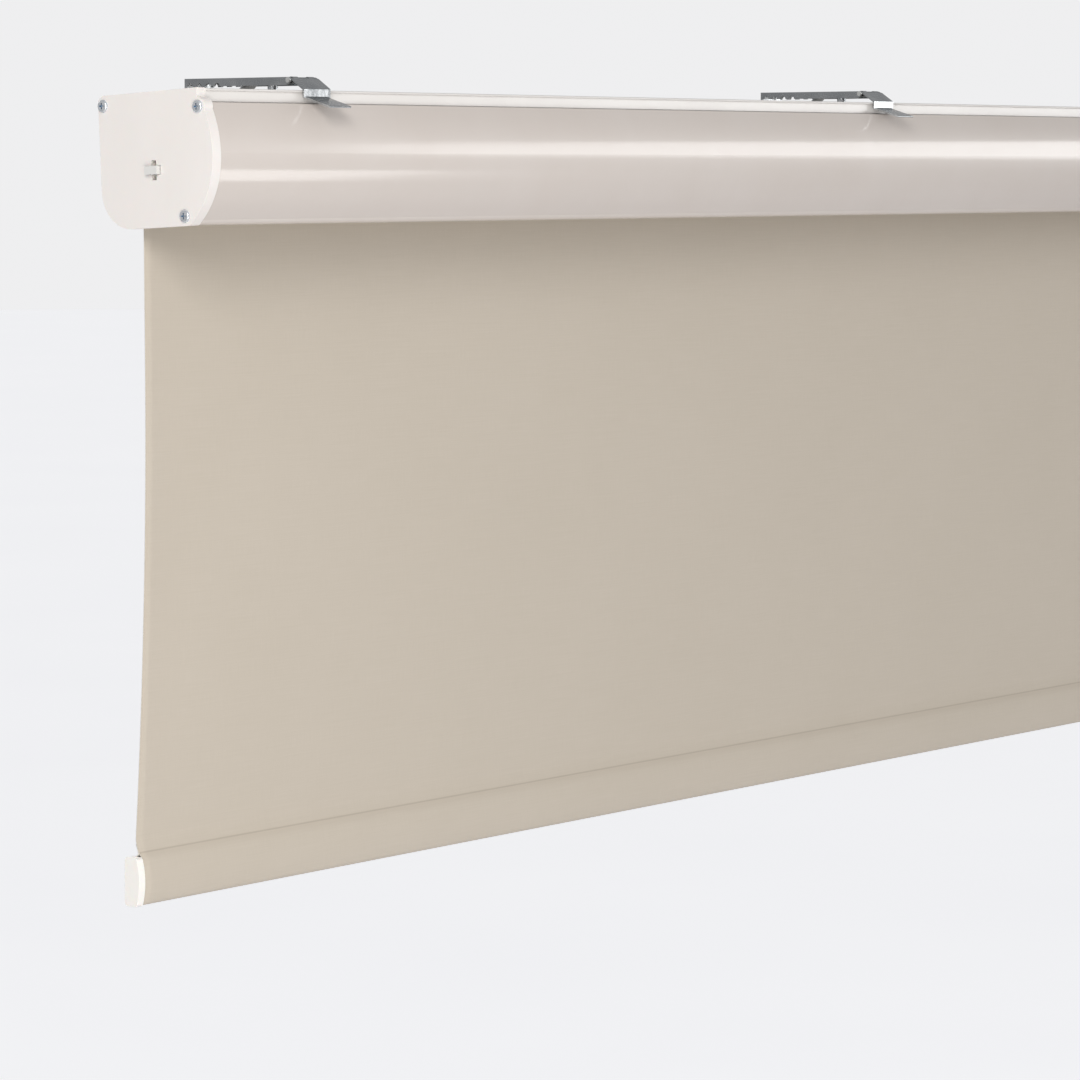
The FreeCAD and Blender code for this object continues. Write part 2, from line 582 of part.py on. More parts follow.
def clip_lever(name, x):
    """Sprung lever: two knuckles on the pin, a sloping web, the hook's tooth and the thumb tab."""
    hook_y, hook_z = "-pin_out - web_long", "pin_up - web_drop"
    hook_foot = f"{hook_z} - lever_hook"
    web = strip(name + "Web", (
        ("-pin_out - web_start", "pin_up + lever_thick / 2"), (hook_y, hook_z), (hook_y, hook_foot)),
        "lever_thick", "lever_wide")
    tab = strip(name + "Tab", (
        (hook_y, hook_foot), (f"{hook_y} - tab_bend", f"{hook_foot} - tab_dip"),
        (f"{hook_y} - tab_long", f"{hook_foot} - tab_drop")), "lever_thick", "tab_wide")
    tooth = block(name + "Tooth", (
        (f"{hook_y} + tooth_start", f"{hook_z} - lever_thick / 2"),
        (f"{hook_y} + tooth_start", f"{hook_z} - tooth_foot"),
        (f"{hook_y} + tooth_reach", f"{hook_z} - tooth_foot"),
        (f"{hook_y} + tooth_reach", f"{hook_z} - tooth_shoulder")), "tab_wide")
    knuckle_middle = "(arm_wide / 2 - flange_thick - knuckle_gap - knuckle_long / 2)"
    knuckles = [rod(f"{name}Knuckle{side}", "knuckle_r", "knuckle_long",
                    f"{side} * {knuckle_middle} - knuckle_long / 2", "-pin_out", "pin_up")
                 for side in (-1, 1)]
    bore = rod(name + "Bore", "pin_r + running_gap", "lever_wide + 2 * past", "-lever_wide / 2 - past",
               "-pin_out", "pin_up")
    gaps = [box(f"{name}Ear{side}", "ear_gap_wide", "ear_gap_deep", "ear_gap_high",
                f"{side} * (arm_wide / 2 - flange_thick / 2) - ear_gap_wide / 2",
                "-pin_out - ear_gap_out", "pin_up") for side in (-1, 1)]
    return bind(cut(name, fuse(name + "Whole", web, tab, tooth, *knuckles), bore, *gaps), x=x)


def clip_screw(name, x):
    """Screw through clip plate and arm; its domed head bears on the headrail."""
    turned = lathe(name, (
        ("0", "0"), ("0", "clip_screw_r - clip_dome_in", "-clip_dome"), ("clip_dome", "clip_screw_r"),
        ("clip_head_high", "clip_screw_r"), ("clip_head_high", "clip_core_r"),
        ("clip_screw_long", "clip_core_r"), ("clip_screw_long", "0")))
    turned.Placement.Rotation = FreeCAD.Rotation(ALONG_X, FreeCAD.Vector(0, 0, 1))
    return bind(turned, x=x, y="-clip_screw_out", z="arm_top - arm_thick - clip_thick - clip_head_high")


# Springs: mean radius, wire radius, pitch and number of turns
TORSION_COIL = {"radius": 12, "wire_r": 0.9, "pitch": 6, "turns": 25}
WRAP_COIL = {"radius": 13, "wire_r": 0.8, "pitch": 2.4, "turns": 9}
CLIP_COIL = {"radius": 1.45, "wire_r": 0.3, "pitch": 0.8, "turns": 10}
WRAP_INSET = 4  # wrap spring from the inner end of the brake hub

# Cassette
node("headrail", headrail())
node("front_cover", front_cover())
left_cap = node("left_end_cap", end_cap())
node("right_end_cap", mirrored(left_cap))
left_screws = in_cassette(group("LeftCapScrews", [cap_screw(number, y, z)
                                                  for number, (y, z) in enumerate(CAP_SCREWS)]),
                          "-blind_width / 2")
node("left_cap_screws", left_screws)
node("right_cap_screws", mirrored(left_screws))

# Fixed parts inside the roller: spring side on the left, brake side on the right
node("spring_spear", spear("SpringSpear", "spring_spear_long"))
node("spring_anchor", in_cassette(sleeve(
    "SpringAnchor", "anchor_start", "anchor_end", "shaft_r", "anchor_r"), "-blind_width / 2"))
node("brake_spear", mirrored(spear("BrakeSpear", "brake_spear_long")))
node("brake_hub", in_cassette(sleeve(
    "BrakeHub", "blind_width - brake_end", "blind_width - brake_start", "shaft_r", "brake_r"),
    "-blind_width / 2"))
torsion_start = value("anchor_end") + TORSION_COIL["wire_r"]
wrap_start = value("blind_width - brake_end") + WRAP_INSET
node("torsion_spring", in_cassette(coil("TorsionSpring", torsion_start, **TORSION_COIL),
                                   "-blind_width / 2"))
node("wrap_spring", in_cassette(coil("WrapSpring", wrap_start, **WRAP_COIL), "-blind_width / 2"))

# Roller
cloth_start, cloth_end = "(blind_width - fabric_width) / 2", "(blind_width + fabric_width) / 2"
node("roller_tube", in_cassette(sleeve(
    "RollerTube", f"{cloth_start} - tube_past", f"{cloth_end} + tube_past", "tube_r - tube_wall", "tube_r"),
    "-blind_width / 2"))
tape = sleeve("FixingTape", cloth_start, cloth_end, "tube_r", "tube_r + tape_thick")
bind(tape, Angle="tape_angle")
node("fixing_tape", in_cassette(tape, "-blind_width / 2"))
roll = sleeve("FabricWound", cloth_start, cloth_end, "tube_r", "roll_r")
recess = sleeve("TapeRecess", f"{cloth_start} - past", f"{cloth_end} + past",
                "tube_r - past", "tube_r + tape_thick")
bind(recess, Angle="tape_angle")
node("fabric_roll", in_cassette(cut("FabricRoll", roll, recess), "-blind_width / 2"))
left_plug = node("left_tube_plug", tube_plug("TubePlug"))
node("right_tube_plug", mirrored(left_plug))
left_bush = in_cassette(sleeve("TubeBush", "hub_depth + bush_start", "hub_depth + bush_start + bush_long",
                               "shaft_r + running_gap", "bush_r"), "-blind_width / 2")
node("left_bush", left_bush)
node("right_bush", mirrored(left_bush))
node("spring_carrier", in_cassette(sleeve(
    "SpringCarrier", "carrier_start", "carrier_end", "shaft_r + running_gap", "tube_r - tube_wall"),
    "-blind_width / 2"))

# Hanging fabric: upright at first, then leaning to the wall
drop_y = "roll_r + fabric_thick / 2 - axis_out"
node("fabric_drop", strip("FabricDrop", (
    (drop_y, "-axis_low"),
    (drop_y, "-axis_low - straight_drop", "(curved_drop ^ 2 + drop_lean ^ 2) / (2 * drop_lean)"),
    (f"{drop_y} + drop_lean", "-axis_low - straight_drop - curved_drop")), "fabric_thick", "fabric_width"))

# Bottom rail
bar_inset = "(pocket_wall + bar_play)"
hollow_inset = "(pocket_wall + bar_play + bar_wall)"
node("hem_pocket", on_rail(cut("HemPocket", rail_bar("PocketOuter", "0", "fabric_width"),
                               rail_bar("PocketInner", "pocket_wall", "fabric_width + 2 * past"))))
node("bottom_bar", on_rail(cut("BottomBar", rail_bar("BarOuter", bar_inset, "fabric_width"),
                               rail_bar("BarInner", hollow_inset, "fabric_width + 2 * past"))))
node("ballast_bar", box(
    "BallastBar", "fabric_width - 2 * ballast_short", "ballast_wide", "ballast_high",
    "ballast_short - fabric_width / 2", "roll_r + drop_lean - axis_out - ballast_front",
    "-axis_low - straight_drop - curved_drop - rail_below - rail_high / 2 - ballast_low"))
rail_cap_plate = rail_bar("RailCapPlate", "(-rail_cap_lip)", "rail_cap_thick", centred=False)
rail_cap_plug = rail_bar("RailCapPlug", f"({hollow_inset} + running_gap)", "rail_plug_long", centred=False)
bind(rail_cap_plug, x="rail_cap_thick - rail_plug_bury")
left_rail_cap = on_rail(fuse("RailCap", rail_cap_plate, rail_cap_plug),
                        "-fabric_width / 2 - rail_cap_thick")
node("left_rail_cap", left_rail_cap)
node("right_rail_cap", mirrored(left_rail_cap))

# Wall clips
PLACES = (("left", "-bracket_pitch"), ("middle", "0"), ("right", "bracket_pitch"))
for place, centre in PLACES:
    title = place.capitalize()
    node(f"wall_bracket_{place}", wall_bracket(f"WallBracket{title}", centre))
    node(f"clip_plate_{place}", clip_plate(f"ClipPlate{title}", centre))
    node(f"clip_lever_{place}", clip_lever(f"ClipLever{title}", centre))
    spring = coil(f"ClipSpring{title}", -CLIP_COIL["pitch"] * CLIP_COIL["turns"] / 2, **CLIP_COIL)
    spring.Placement.Base = FreeCAD.Vector(value(centre), -value("pin_out"), value("pin_up"))
    node(f"clip_spring_{place}", spring)
pins = [bind(lathe(f"ClipPin{place.capitalize()}", (
    ("-arm_wide / 2 - pin_head", "0"), ("-arm_wide / 2 - pin_head", "pin_head_r"),
    ("-arm_wide / 2", "pin_head_r"), ("-arm_wide / 2", "pin_r"),
    ("arm_wide / 2", "pin_r"), ("arm_wide / 2", "pin_head_r"),
    ("arm_wide / 2 + pin_head", "pin_head_r"), ("arm_wide / 2 + pin_head", "0"))),
    x=centre, y="-pin_out", z="pin_up") for place, centre in PLACES]
node("clip_pins", group("ClipPins", pins))
node("clip_screws", group("ClipScrews", [clip_screw(f"ClipScrew{place.capitalize()}", centre)
                                         for place, centre in PLACES]))

doc.recompute()
failed = [item.Name for item in doc.Objects if {"Invalid", "Error"} & set(item.State)]
if failed:
    raise SystemExit(f"failed objects: {failed}")
for item in nodes:
    if item.Shape.isNull() or not item.Shape.isValid() or not item.Shape.Solids:
        raise SystemExit(f"bad shape: {item.Label}")

os.makedirs("parts", exist_ok=True)
for item in nodes:
    item.Shape.exportStep(f"parts/{item.Label}.step")
    print(f"{item.Label:22s} solids {len(item.Shape.Solids)} volume {item.Shape.Volume:12.1f}")
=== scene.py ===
import json
import math

import bmesh
import bpy
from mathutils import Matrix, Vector, noise


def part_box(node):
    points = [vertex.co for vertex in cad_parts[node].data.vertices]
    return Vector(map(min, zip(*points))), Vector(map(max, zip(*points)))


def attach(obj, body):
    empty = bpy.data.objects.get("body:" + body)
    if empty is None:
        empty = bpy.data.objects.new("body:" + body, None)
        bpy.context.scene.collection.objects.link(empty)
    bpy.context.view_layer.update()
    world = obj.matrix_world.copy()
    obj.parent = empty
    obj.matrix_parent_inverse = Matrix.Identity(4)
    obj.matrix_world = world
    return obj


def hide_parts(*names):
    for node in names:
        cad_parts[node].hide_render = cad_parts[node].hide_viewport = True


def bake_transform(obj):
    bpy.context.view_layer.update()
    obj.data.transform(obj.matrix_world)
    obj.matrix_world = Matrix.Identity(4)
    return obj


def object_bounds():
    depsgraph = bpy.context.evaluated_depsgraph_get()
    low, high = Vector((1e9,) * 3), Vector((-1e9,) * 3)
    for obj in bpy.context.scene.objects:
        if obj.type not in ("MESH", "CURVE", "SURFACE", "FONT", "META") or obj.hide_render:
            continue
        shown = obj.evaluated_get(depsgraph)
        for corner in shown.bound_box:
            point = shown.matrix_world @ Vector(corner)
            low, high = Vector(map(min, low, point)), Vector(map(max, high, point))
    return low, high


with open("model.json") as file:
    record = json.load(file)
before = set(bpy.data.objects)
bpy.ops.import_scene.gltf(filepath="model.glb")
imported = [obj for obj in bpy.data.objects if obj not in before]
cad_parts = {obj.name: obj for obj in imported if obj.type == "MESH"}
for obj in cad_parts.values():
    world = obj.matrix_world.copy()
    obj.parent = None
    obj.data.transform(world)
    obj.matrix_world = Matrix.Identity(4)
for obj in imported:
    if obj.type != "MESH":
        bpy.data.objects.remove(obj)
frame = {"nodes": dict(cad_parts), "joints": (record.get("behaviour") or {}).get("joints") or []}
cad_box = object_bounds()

# Looks of a spring roller blind in a cassette. Metres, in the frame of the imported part:
# X along the blind, +Y into the wall, +Z up.

MM = 0.001


# ---------------------------------------------------------------- shader helpers

SOCKETS = {
    "metallic": "Metallic", "ior": "IOR", "specular": "Specular IOR Level", "coat": "Coat Weight",
    "coat_roughness": "Coat Roughness", "coat_ior": "Coat IOR", "sheen": "Sheen Weight",
    "sheen_roughness": "Sheen Roughness", "subsurface": "Subsurface Weight",
    "subsurface_scale": "Subsurface Scale",
}


def srgb(code):
    """A hex colour as the linear values that sockets hold."""
    shares = [int(code[place:place + 2], 16) / 255 for place in (0, 2, 4)]
    linear = [share / 12.92 if share <= 0.04045 else ((share + 0.055) / 1.055) ** 2.4 for share in shares]
    return (*linear, 1)


class Finish:
    """One node material, put together from named layers."""

    def __init__(self, name, **sockets):
        self.material = bpy.data.materials.new(name)
        self.material.use_nodes = True
        self.tree = self.material.node_tree
        self.shader = self.tree.nodes["Principled BSDF"]
        self.place = self.node("TexCoord").outputs["Object"]
        for socket, setting in sockets.items():
            self.shader.inputs[SOCKETS[socket]].default_value = setting

    def node(self, kind, inputs=None, **settings):
        made = self.tree.nodes.new("ShaderNode" + kind)
        for name, setting in settings.items():
            setattr(made, name, setting)
        for socket, source in (inputs or {}).items():
            if isinstance(source, bpy.types.NodeSocket):
                self.tree.links.new(source, made.inputs[socket])
            else:
                made.inputs[socket].default_value = source
        return made

    def stretched(self, x, y, z, source=None):
        """Places scaled by x, y and z, for grain that runs one way."""
        return self.node("Mapping", {"Vector": source or self.place, "Scale": (x, y, z)}).outputs["Vector"]

    def grain(self, per_metre, detail=3.0, roughness=0.55, source=None):
        """Noise between 0 and 1 with that many cells in a metre."""
        return self.node("TexNoise", {"Vector": source or self.place, "Scale": per_metre, "Detail": detail,
                                      "Roughness": roughness}).outputs["Fac"]

    def between(self, factor, low, high, start=0.3, end=0.7):
        """A value that goes from low to high while factor goes from start to end."""
        return self.node("MapRange", {"Value": factor, "From Min": start, "From Max": end,
                                      "To Min": low, "To Max": high}).outputs["Result"]

    def blended(self, factor, first, second, start=0.3, end=0.7):
        """A colour that goes from first to second while factor goes from start to end."""
        ramp = self.node("ValToRGB", {"Fac": factor})
        ramp.color_ramp.elements[0].position, ramp.color_ramp.elements[1].position = start, end
        ramp.color_ramp.elements[0].color, ramp.color_ramp.elements[1].color = srgb(first), srgb(second)
        return ramp.outputs["Color"]

    def mixed(self, factor, first, second):
        """Two colours or sockets mixed."""
        mix = self.node("Mix", {"Factor": factor}, data_type="RGBA")
        for place, source in ((6, first), (7, second)):
            if isinstance(source, bpy.types.NodeSocket):
                self.tree.links.new(source, mix.inputs[place])
            else:
                mix.inputs[place].default_value = srgb(source)
        return mix.outputs[2]

    def maths(self, operation, first, second=0.5):
        made = self.node("Math", operation=operation)
        for place, source in enumerate((first, second)):
            if isinstance(source, bpy.types.NodeSocket):
                self.tree.links.new(source, made.inputs[place])
            else:
                made.inputs[place].default_value = source
        return made.outputs["Value"]

    def colour(self, source):
        self.tree.links.new(source, self.shader.inputs["Base Color"])

    def rough(self, source):
        self.tree.links.new(source, self.shader.inputs["Roughness"])

    def bump(self, height, depth, strength=1.0):
        """Relief of that depth in metres; a second call adds to the first."""
        made = self.node("Bump", {"Height": height, "Distance": depth, "Strength": strength})
        before = self.shader.inputs["Normal"].links
        if before:
            self.tree.links.new(before[0].from_socket, made.inputs["Normal"])
        self.tree.links.new(made.outputs["Normal"], self.shader.inputs["Normal"])


# ---------------------------------------------------------------- finishes

def moulded(name, light, shade, roughness, **sockets):
    """Injection-moulded plastic: flow marks, spark-eroded grain and a little handling gloss."""
    skin = Finish(name, **sockets)
    flow = skin.grain(14, 4, 0.6, skin.stretched(1, 1, 0.35))
    skin.colour(skin.blended(flow, light, shade, 0.35, 0.75))
    skin.rough(skin.between(skin.grain(60, 5), roughness - 0.05, roughness + 0.07))
    skin.bump(skin.grain(2400, 2), 0.012 * MM, 0.6)
    skin.bump(skin.grain(35, 2), 0.12 * MM, 0.5)
    return skin.material


def powder_coat(name, light, shade, roughness, peel, **sockets):
    """Powder coat on an extrusion: orange peel, faint die lines along X and small gloss changes."""
    skin = Finish(name, **sockets)
    drift = skin.grain(9, 4, 0.6)
    skin.colour(skin.blended(drift, light, shade))
    skin.rough(skin.between(skin.grain(320, 3), roughness - 0.04, roughness + 0.06))
    skin.bump(skin.grain(620, 3, 0.6), peel, 0.8)
    skin.bump(skin.grain(1, 3, 0.5, skin.stretched(3, 420, 420)), 0.02 * MM, 0.35)
    return skin.material


def plated(name, bright, dull, roughness, **sockets):
    """Plated sheet steel: rolled waviness, hairline scratches and dull specks."""
    skin = Finish(name, metallic=1.0, **sockets)
    bloom = skin.grain(60, 4, 0.5)
    skin.colour(skin.blended(bloom, bright, dull, 0.35, 0.8))
    scratches = skin.grain(1, 4, 0.7, skin.stretched(180, 2600, 2600))
    skin.rough(skin.between(scratches, roughness, roughness + 0.16, 0.45, 0.75))
    skin.bump(skin.grain(80, 2), 0.4 * MM, 0.8)
    skin.bump(scratches, 0.008 * MM, 0.6)
    return skin.material


def drawn_metal(name, bright, dull, roughness, along=(14, 1700, 1700), **sockets):
    """Extruded or drawn metal: die lines along X over a cloudy mill finish."""
    skin = Finish(name, metallic=1.0, **sockets)
    lines = skin.grain(1, 4, 0.7, skin.stretched(*along))
    clouds = skin.grain(38, 4)
    skin.colour(skin.mixed(skin.between(clouds, 0, 0.6), skin.blended(lines, bright, dull), dull))
    skin.rough(skin.between(lines, roughness - 0.06, roughness + 0.12))
    skin.bump(lines, 0.015 * MM, 0.7)
    return skin.material


def zinc_screw():
    """Zinc plate in a bluish white, with painted shade: recesses found by ambient occlusion turn dark
    blue-grey.
    """
    skin = Finish("screw_zinc_finish", metallic=0.75)
    # painted shade mask: ambient occlusion within 1.6 mm marks the recesses
    painted_recess_shade = skin.node("AmbientOcclusion", {"Distance": 1.6 * MM}).outputs["AO"]
    bright = skin.blended(skin.grain(520, 4), "F2F4F6", "D3D8DD")
    # painted shade: where the occlusion mask finds a recess, the colour goes to dark blue-grey 6F93B0
    skin.colour(skin.mixed(skin.between(painted_recess_shade, 1, 0, 0.25, 0.85), bright, "6F93B0"))
    skin.rough(skin.between(skin.grain(800, 3), 0.2, 0.38))
    skin.bump(skin.grain(900, 2), 0.03 * MM, 0.6)
    return skin.material


def woven(name, light, shade, seam=None, **sockets):
    """Fine plain weave in UV metres: warp and weft threads, slubs, a soft cloudiness and a welded seam."""
    skin = Finish(name, **sockets)
    cloth = skin.node("UVMap", uv_map="weave").outputs["UV"]
    threads = skin.node("SeparateXYZ", {"Vector": cloth})
    warp = skin.maths("SINE", skin.maths("MULTIPLY", threads.outputs["X"], 2 * math.pi / THREAD), 0)
    weft = skin.maths("SINE", skin.maths("MULTIPLY", threads.outputs["Y"], 2 * math.pi / THREAD), 0)
    weave = skin.maths("MULTIPLY", warp, weft)
    slubs = skin.grain(1, 4, 0.65, skin.stretched(22, 1400, 1, cloth))
    fibres = skin.grain(1, 3, 0.6, skin.stretched(1500, 60, 1, cloth))
    clouds = skin.grain(7, 4, 0.6, cloth)
    shades = skin.maths("ADD", skin.maths("MULTIPLY", slubs, 0.45), skin.maths("MULTIPLY", fibres, 0.3))
    shades = skin.maths("ADD", shades, skin.maths("MULTIPLY", clouds, 0.25))
    shades = skin.maths("ADD", shades, skin.maths("MULTIPLY", weave, 0.06))
    colour = skin.blended(shades, light, shade, 0.36, 0.64)
    if seam:
        away = skin.maths("ABSOLUTE", skin.maths("SUBTRACT", threads.outputs["Y"], seam))
        colour = skin.mixed(skin.between(away, 0.34, 0, 0.2 * MM, 0.8 * MM), colour, "9A8F80")
    skin.colour(colour)
    skin.rough(skin.between(slubs, 0.78, 0.92))
    skin.bump(weave, 0.05 * MM, 0.45)
    skin.bump(slubs, 0.05 * MM, 0.4)
    return skin.material


def coated_back(name, light, shade):
    """Acrylic coating on the back of the cloth: smooth, with the weave just printing through."""
    skin = Finish(name, specular=0.3)
    cloth = skin.node("UVMap", uv_map="weave").outputs["UV"]
    skin.colour(skin.blended(skin.grain(16, 5, 0.6, cloth), light, shade))
    skin.rough(skin.between(skin.grain(45, 4, 0.5, cloth), 0.55, 0.7))
    skin.bump(skin.grain(1, 3, 0.6, skin.stretched(1800, 1800, 1, cloth)), 0.02 * MM, 0.4)
    return skin.material


def adhesive_tape():
    """Thin acrylic tape, with the small bubbles that stay under it."""
    skin = Finish("tape_clear_finish", coat=0.4, coat_roughness=0.2)
    bubbles = skin.node("TexVoronoi", {"Vector": skin.place, "Scale": 260}).outputs["Distance"]
    skin.colour(skin.blended(bubbles, "E9E4D2", "CFC9B4", 0.1, 0.5))
    skin.rough(skin.between(bubbles, 0.25, 0.45, 0, 0.5))
    skin.bump(bubbles, 0.03 * MM, 0.5)
    return skin.material


THREAD = 0.62 * MM

FINISHES = {
    "cap_plastic": moulded("cap_plastic_finish", "F3EEEA", "EFEAE5", 0.42, specular=0.45,
                           subsurface=0.05, subsurface_scale=0.002),
    "profile_white": powder_coat("profile_white_finish", "E9E6E2", "E2DEDA", 0.34, 0.03 * MM,
                                 coat=0.3, coat_roughness=0.18),
    "cover_cream": powder_coat("cover_cream_finish", "D9D0C9", "D5CBC3", 0.4, 0.045 * MM,
                               coat=0.8, coat_roughness=0.13, coat_ior=1.55),
    "screw_zinc": zinc_screw(),
    "shaft_steel": drawn_metal("shaft_steel_finish", "EDEDEC", "D9DAD9", 0.5),
    "clip_chrome": plated("clip_chrome_finish", "B9BBBC", "9A9DA0", 0.2),
    "spring_steel": drawn_metal("spring_steel_finish", "8E9194", "6A6D70", 0.32, (600, 600, 600)),
    "tube_alu": drawn_metal("tube_alu_finish", "D2D3D4", "B2B4B6", 0.34),
    "tape_clear": adhesive_tape(),
    "nylon_grey": moulded("nylon_grey_finish", "8A8D90", "76797C", 0.5),
    "nylon_white": moulded("nylon_white_finish", "E6E5E2", "DAD9D5", 0.45),
    "bar_alu": drawn_metal("bar_alu_finish", "D6D7D8", "B8BABC", 0.36),
    "ballast_steel": drawn_metal("ballast_steel_finish", "77797B", "5A5B5D", 0.45, (30, 900, 900)),
    "rail_cap_ivory": moulded("rail_cap_ivory_finish", "FDFAF5", "F9F5EE", 0.4, specular=0.45,
                              subsurface=0.08, subsurface_scale=0.002),
}
CLOTH_LOOK = {"light": "CCC2B4", "shade": "C7BDAE", "sheen": 0.12, "sheen_roughness": 0.5, "specular": 0.25}
CLOTH_FACE = woven("blackout_cloth_face", **CLOTH_LOOK)
CLOTH_BACK = coated_back("blackout_cloth_back", "E4DFD6", "DBD5CB")


def finish_cad_nodes():
    for piece in frame["nodes"].values():
        for slot in piece.material_slots:
            name = slot.material.name.split(".")[0]
            if name in FINISHES:
                slot.material = FINISHES[name]


# ---------------------------------------------------------------- rounded edges on CAD pieces

def round_edges(piece, radius):
    """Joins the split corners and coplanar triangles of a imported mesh, then rounds its sharp edges."""
    weld = piece.modifiers.new("weld", "WELD")
    weld.merge_threshold = 0.01 * MM
    flats = piece.modifiers.new("flats", "DECIMATE")
    flats.decimate_type = "DISSOLVE"
    flats.angle_limit = math.radians(1)
    bevel = piece.modifiers.new("rounded_edges", "BEVEL")
    bevel.width = radius
    bevel.segments = 3
    bevel.limit_method = "ANGLE"
    bevel.angle_limit = math.radians(40)
    bevel.harden_normals = True
    bevel.miter_outer = "MITER_ARC"
    normals = piece.modifiers.new("weighted_normals", "WEIGHTED_NORMAL")
    normals.keep_sharp = True
    normals.weight = 80


def round_cad_edges():
    """Moulded pieces get a soft edge, cut sheet metal a fine one."""
    radii = {"end_cap": 0.6, "rail_cap": 0.7, "wall_bracket": 0.2, "clip_lever": 0.25, "clip_plate": 0.2}
    for name, piece in frame["nodes"].items():
        for part, radius in radii.items():
            if part in name:
                round_edges(piece, radius * MM)


# ---------------------------------------------------------------- cloth

FABRIC = 0.42 * MM              # thickness of the modelled cloth
CAD_FABRIC = 0.45 * MM          # thickness of the CAD's cloth, and the pitch of the wound spiral
TUBE_AND_TAPE = 19.3 * MM       # roller axis to the innermost turn
STRAIGHT_SHARE = 0.315          # upright part of the hanging cloth, the rest leans to the wall
BEND_ABOVE = 10 * MM            # the cloth turns forward this far above the rail
WELD_ABOVE = 2.3 * MM           # welded line above the rail
WELD_BEHIND_FRONT = 5.4 * MM
RAIL_BOW = 2.6 * MM             # bow of the rail's front
FLAP = 6 * MM                   # cloth left over behind the weld
SOFT_CORNER = 3 * MM
ROW_STEP, POCKET_STEP = 5 * MM, 0.35 * MM
SLOW_WAVE, QUICK_WAVE, EDGE_CURL = 1.1 * MM, 0.25 * MM, 0.9 * MM
CURL_REACH = 14 * MM
ROLLER_AXIS = next(joint for joint in frame["joints"] if joint["name"] == "roller_spin")["pos_m"]


def arc_points(start, end, lean, steps):
    """Points from start to end on a circle that leaves start straight down and moves across by lean."""
    radius = ((end[1] - start[1]) ** 2 + lean ** 2) / (2 * lean)
    sweep = math.asin((start[1] - end[1]) / radius)
    return [(start[0] + radius * (1 - math.cos(sweep * step / steps)),
             start[1] - radius * math.sin(sweep * step / steps)) for step in range(steps + 1)]


def resampled(path, step):
    """The same line with points about one step apart."""
    done = [path[0]]
    for first, second in zip(path, path[1:]):
        pieces = max(1, round(math.dist(first, second) / step))
        done += [tuple(a + (b - a) * n / pieces for a, b in zip(first, second)) for n in range(1, pieces + 1)]
    return done


def softened(path, reach):
    """Each point becomes the mean of its neighbours within reach, less near the ends of the path."""
    along = [0.0]
    for first, second in zip(path, path[1:]):
        along.append(along[-1] + math.dist(first, second))
    done = []
    for place, here in enumerate(along):
        window = min(reach, here, along[-1] - here)
        near = [path[k] for k in range(len(path)) if abs(along[k] - here) <= window + 1e-9]
        done.append(tuple(sum(part) / len(near) for part in zip(*near)))
    return done


def side_of(path, place):
    """Unit normal of the line at a point, to the right of its direction of travel."""
    before, after = path[max(place - 1, 0)], path[min(place + 1, len(path) - 1)]
    run, rise = after[0] - before[0], after[1] - before[1]
    length = math.hypot(run, rise)
    return rise / length, -run / length


def cloth_strip(name, path, half_width, columns, cloth_face, wave=None):
    """Closed sheet swept along X over a path of (y, z); its first side carries the cloth's face."""
    mesh = bmesh.new()
    uv = mesh.loops.layers.uv.new("weave")
    along = [0.0]
    for first, second in zip(path, path[1:]):
        along.append(along[-1] + math.dist(first, second))
    sides = []
    for side in (1, -1):
        grid = []
        for place, (y, z) in enumerate(path):
            out_y, out_z = side_of(path, place)
            row = []
            for column in range(columns + 1):
                x = half_width * (2 * column / columns - 1)
                shift = side * FABRIC / 2 + (wave(x, along[place], half_width) if wave else 0)
                row.append(mesh.verts.new((x, y + out_y * shift, z + out_z * shift)))
            grid.append(row)
        sides.append(grid)

    def face(corners, places, material):
        made = mesh.faces.new(corners)
        made.material_index = material
        made.smooth = True
        for loop, (column, row) in zip(made.loops, places):
            loop[uv].uv = (half_width * (2 * column / columns - 1), along[row])

    rows = len(path) - 1
    for row in range(rows):
        for column in range(columns):
            places = ((column, row), (column + 1, row), (column + 1, row + 1), (column, row + 1))
            face([sides[0][r][c] for c, r in places], places, 0)
            face([sides[1][r][c] for c, r in reversed(places)], tuple(reversed(places)), 1)
        for column in (0, columns):
            places = ((column, row), (column, row + 1))
            ring = [sides[0][r][column] for _, r in places] + [sides[1][r][column] for _, r in reversed(places)]
            corners = places + places[::-1]
            face(ring if column == 0 else ring[::-1], corners if column == 0 else corners[::-1], 1)
    for row in (0, rows):
        for column in range(columns):
            places = ((column, row), (column + 1, row))
            ring = [sides[0][row][c] for c, _ in places] + [sides[1][row][c] for c, _ in reversed(places)]
            corners = places + places[::-1]
            face(ring[::-1] if row == 0 else ring, corners[::-1] if row == 0 else corners, 1)
    bmesh.ops.recalc_face_normals(mesh, faces=mesh.faces)
    data = bpy.data.meshes.new(name)
    mesh.to_mesh(data)
    mesh.free()
    data.materials.append(cloth_face)
    data.materials.append(CLOTH_BACK)
    piece = bpy.data.objects.new(name, data)
    bpy.context.collection.objects.link(piece)
    return piece, along[-1]


